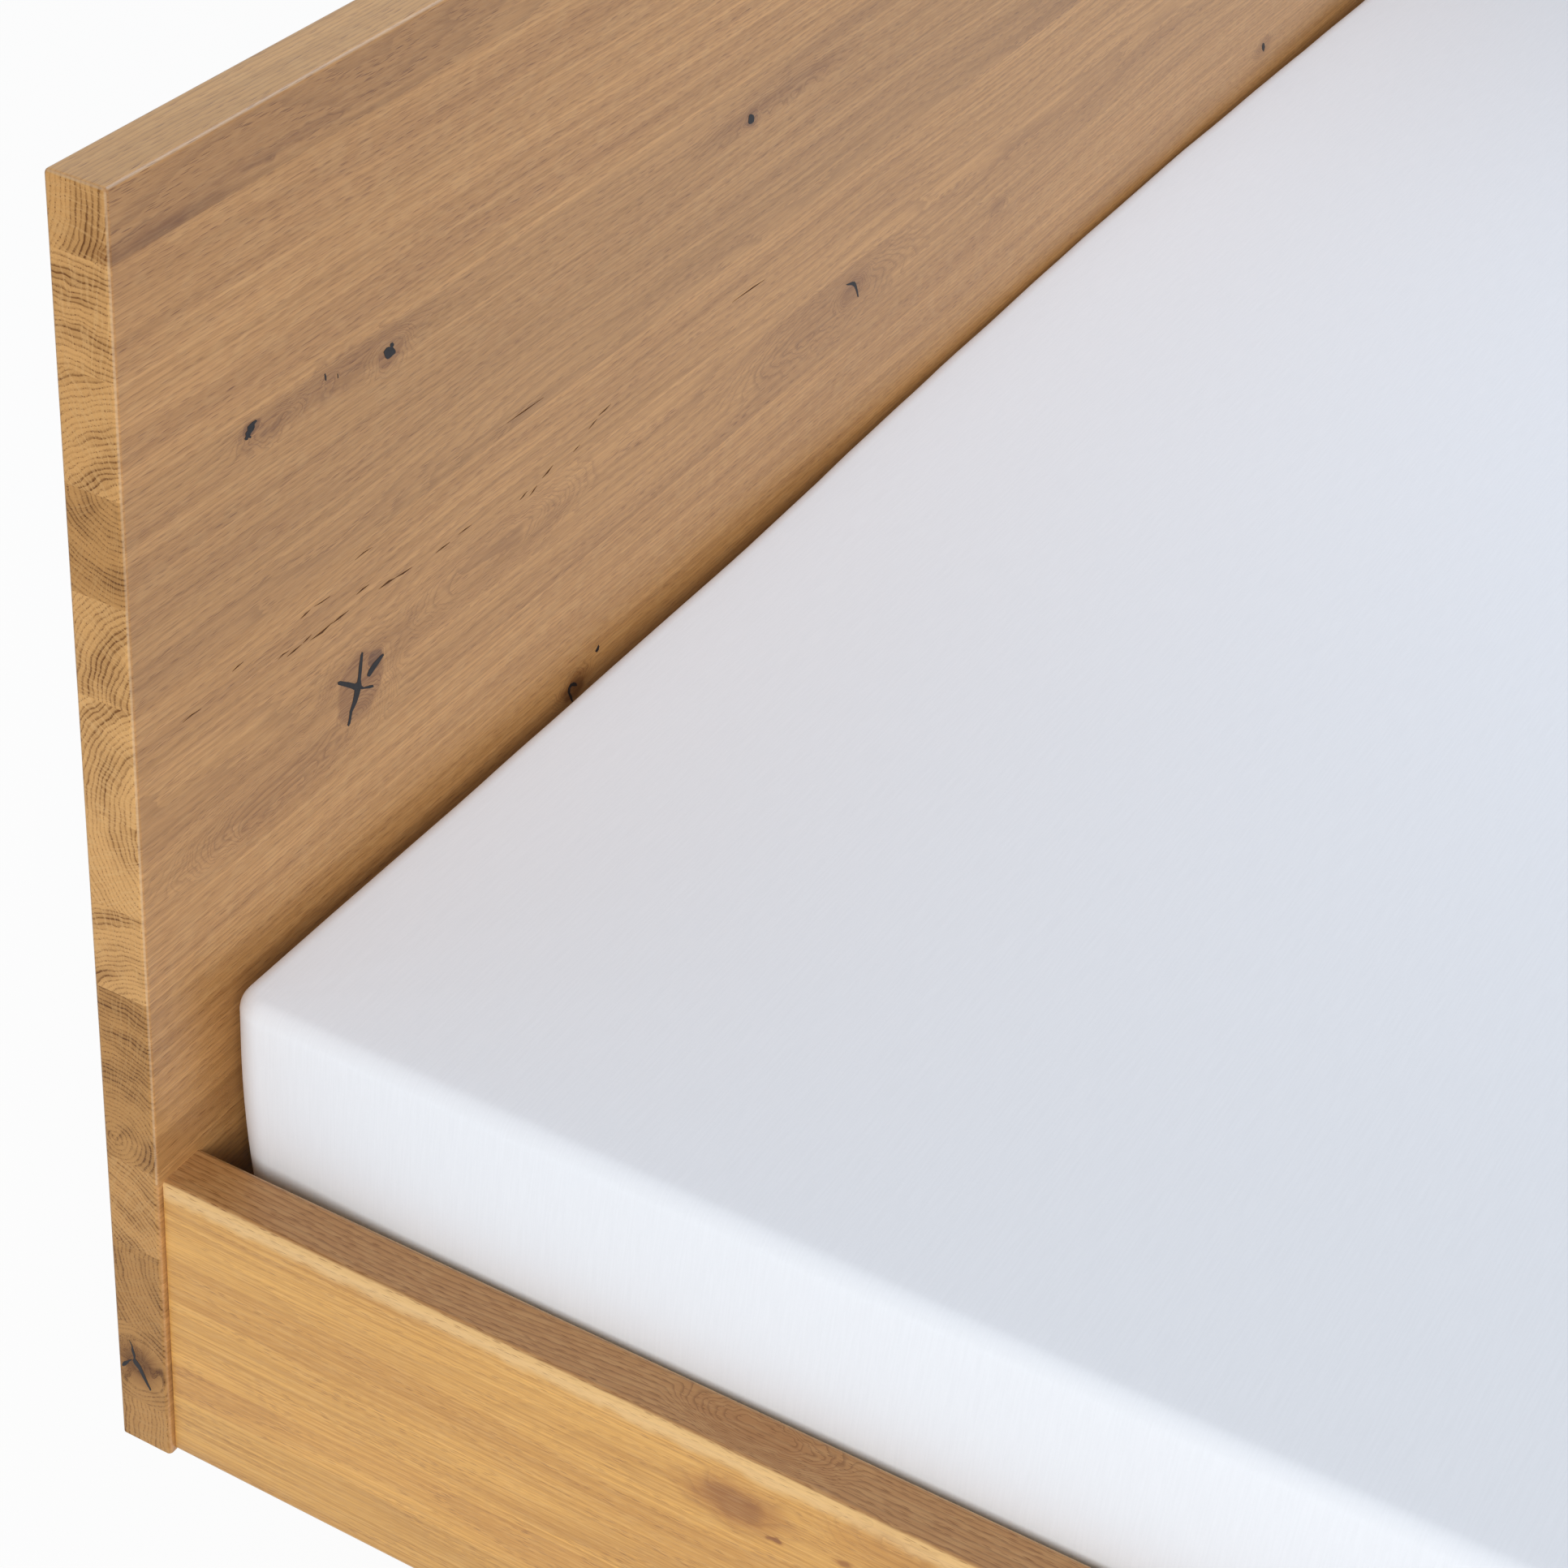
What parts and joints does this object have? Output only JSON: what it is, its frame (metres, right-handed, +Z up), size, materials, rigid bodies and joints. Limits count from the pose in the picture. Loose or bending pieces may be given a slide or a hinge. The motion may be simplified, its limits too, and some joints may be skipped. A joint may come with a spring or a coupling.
{
  "type": "double bed",
  "caption": "Solid oak bed with a plain headboard that runs down to the rails' underside, recessed legs, slatted bases and a mattress in a white fitted sheet.",
  "frame": {"origin": "on the floor, in the middle of the whole bed's outline", "axes": "+Z up, +Y towards the headboard, +X towards the right side rail as seen from the foot end"},
  "size_m": [1.894, 2.092, 0.945],
  "materials": {
    "oak_headboard": "oiled oak, greyish brown face",
    "oak_rail": "oiled oak, warm golden face",
    "beech_bearer": "planed beech",
    "beech_slat": "lacquered beech laminate",
    "birch_rail": "birch plywood edge",
    "black_steel": "black powder coat",
    "zinc_steel": "zinc plated",
    "cap_rubber": "moulded",
    "pad_rubber": "moulded",
    "felt": "pressed felt",
    "mattress_ticking": "knitted ticking",
    "white_jersey": "brushed white jersey"
  },
  "bodies": {
    "bed_frame": {"headboard_stave_01": "oak_headboard", "headboard_stave_02": "oak_headboard", "headboard_stave_03": "oak_headboard", "headboard_stave_04": "oak_headboard", "headboard_stave_05": "oak_headboard", "headboard_stave_06": "oak_headboard", "headboard_stave_07": "oak_headboard", "headboard_stave_08": "oak_headboard", "headboard_stave_09": "oak_headboard", "headboard_stave_10": "oak_headboard", "headboard_stave_11": "oak_headboard", "headboard_stave_12": "oak_headboard", "foot_rail": "oak_rail", "side_rail_left": "oak_rail", "side_rail_right": "oak_rail", "corner_slot_plates": "zinc_steel", "corner_hook_plates": "zinc_steel", "ledge_left": "beech_bearer", "ledge_right": "beech_bearer", "centre_beam": "beech_bearer", "cross_bearer_head": "beech_bearer", "cross_bearer_foot": "beech_bearer", "beam_shoe_head": "zinc_steel", "beam_shoe_foot": "zinc_steel", "leg_head_left": "oak_rail", "leg_head_right": "oak_rail", "leg_foot_left": "oak_rail", "leg_foot_right": "oak_rail", "leg_plates": "black_steel", "leg_felt_pads": "felt", "centre_leg_head": "black_steel", "centre_leg_foot": "black_steel"},
    "slatted_base_left": {"base_outer_rail_left": "birch_rail", "base_inner_rail_left": "birch_rail", "base_head_piece_left": "birch_rail", "base_foot_piece_left": "birch_rail", "slats_left": "beech_slat", "slat_caps_left": "cap_rubber"},
    "slatted_base_right": {"base_outer_rail_right": "birch_rail", "base_inner_rail_right": "birch_rail", "base_head_piece_right": "birch_rail", "base_foot_piece_right": "birch_rail", "slats_right": "beech_slat", "slat_caps_right": "cap_rubber"},
    "mattress_and_sheet": {"mattress": "mattress_ticking", "fitted_sheet": "white_jersey"},
    "centre_foot_head": {"screw_foot_head": "zinc_steel", "foot_pad_head": "pad_rubber"},
    "centre_foot_foot": {"screw_foot_foot": "zinc_steel", "foot_pad_foot": "pad_rubber"}
  },
  "joints": [
    {"name": "mattress_lift", "type": "slide", "parent": "bed_frame", "child": "mattress_and_sheet", "axis": [0, 0, 1], "range_m": [0, 0.35]},
    {"name": "base_left_lift", "type": "slide", "parent": "bed_frame", "child": "slatted_base_left", "axis": [0, 0, 1], "range_m": [0, 0.175]},
    {"name": "base_right_lift", "type": "slide", "parent": "bed_frame", "child": "slatted_base_right", "axis": [0, 0, 1], "range_m": [0, 0.175]},
    {"name": "foot_head_screw", "type": "slide", "parent": "bed_frame", "child": "centre_foot_head", "axis": [0, 0, 1], "range_m": [0, 0.02]},
    {"name": "foot_foot_screw", "type": "slide", "parent": "bed_frame", "child": "centre_foot_foot", "axis": [0, 0, 1], "range_m": [0, 0.02]}
  ],
  "couplings": [
    {"joint": "base_left_lift", "follows": "mattress_lift", "ratio": 0.5},
    {"joint": "base_right_lift", "follows": "mattress_lift", "ratio": 0.5}
  ]
}
